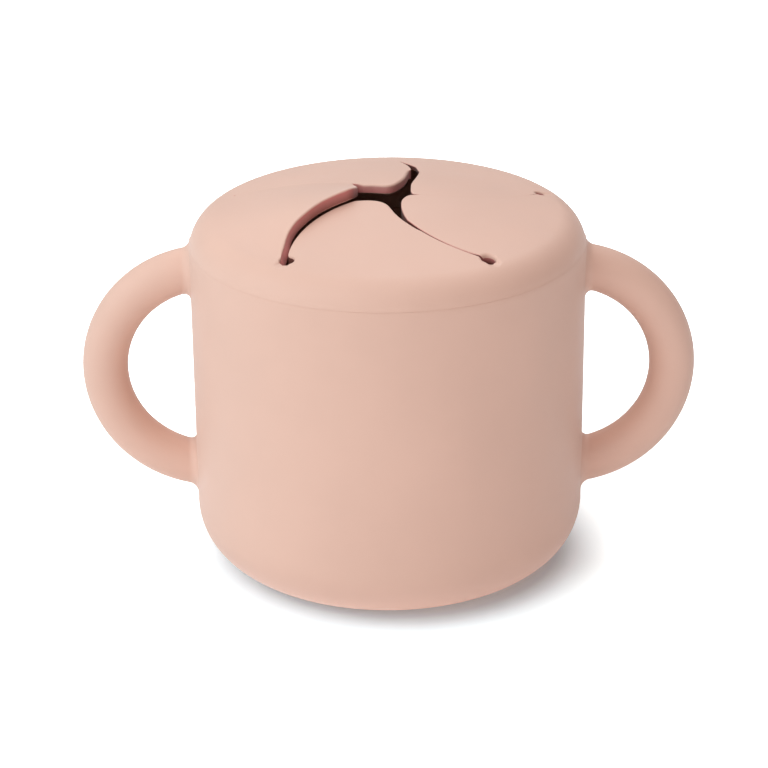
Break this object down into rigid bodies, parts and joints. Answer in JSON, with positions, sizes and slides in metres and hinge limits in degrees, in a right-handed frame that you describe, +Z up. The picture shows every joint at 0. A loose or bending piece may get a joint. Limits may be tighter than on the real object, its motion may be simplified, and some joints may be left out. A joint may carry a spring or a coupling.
{
  "type": "toddler snack container",
  "caption": "Round silicone snack cup with a ring handle on each side and a push-on domed lid whose curved soft flaps let a child's hand in but keep snacks from spilling.",
  "frame": {"origin": "centre of the cup's base, on the surface that it stands on", "axes": "+Z up along the cup's axis, +X through the right-hand handle, -Y towards the viewer"},
  "size_m": [0.1382, 0.088, 0.0873],
  "materials": {
    "cup_silicone": "satin silicone",
    "lid_silicone": "satin silicone"
  },
  "bodies": {
    "cup": {"cup_shell": "cup_silicone", "handle_left": "cup_silicone", "handle_right": "cup_silicone"},
    "lid": {"lid_ring": "lid_silicone"},
    "flap_front": {"flap_front": "lid_silicone"},
    "flap_right": {"flap_right": "lid_silicone"},
    "flap_back_right": {"flap_back_right": "lid_silicone"},
    "flap_back_left": {"flap_back_left": "lid_silicone"},
    "flap_left": {"flap_left": "lid_silicone"}
  },
  "joints": [
    {"name": "lid_lift", "type": "slide", "parent": "cup", "child": "lid", "axis": [0, 0, 1], "range_m": [0, 0.06]},
    {"name": "front_flap_bend", "type": "hinge", "parent": "lid", "child": "flap_front", "pos_m": [0, -0.027, 0.08167], "axis": [-1, 0, 0], "range_deg": [-15, 45], "stiffness_Nm_per_rad": 0.02},
    {"name": "right_flap_bend", "type": "hinge", "parent": "lid", "child": "flap_right", "pos_m": [0.02568, -0.00834, 0.08167], "axis": [-0.309, -0.9511, 0], "range_deg": [-15, 45], "stiffness_Nm_per_rad": 0.02},
    {"name": "back_right_flap_bend", "type": "hinge", "parent": "lid", "child": "flap_back_right", "pos_m": [0.01587, 0.02184, 0.08167], "axis": [0.809, -0.5878, 0], "range_deg": [-15, 45], "stiffness_Nm_per_rad": 0.02},
    {"name": "back_left_flap_bend", "type": "hinge", "parent": "lid", "child": "flap_back_left", "pos_m": [-0.01587, 0.02184, 0.08167], "axis": [0.809, 0.5878, 0], "range_deg": [-15, 45], "stiffness_Nm_per_rad": 0.02},
    {"name": "left_flap_bend", "type": "hinge", "parent": "lid", "child": "flap_left", "pos_m": [-0.02568, -0.00834, 0.08167], "axis": [-0.309, 0.9511, 0], "range_deg": [-8.5, 51.5], "stiffness_Nm_per_rad": 0.02}
  ]
}
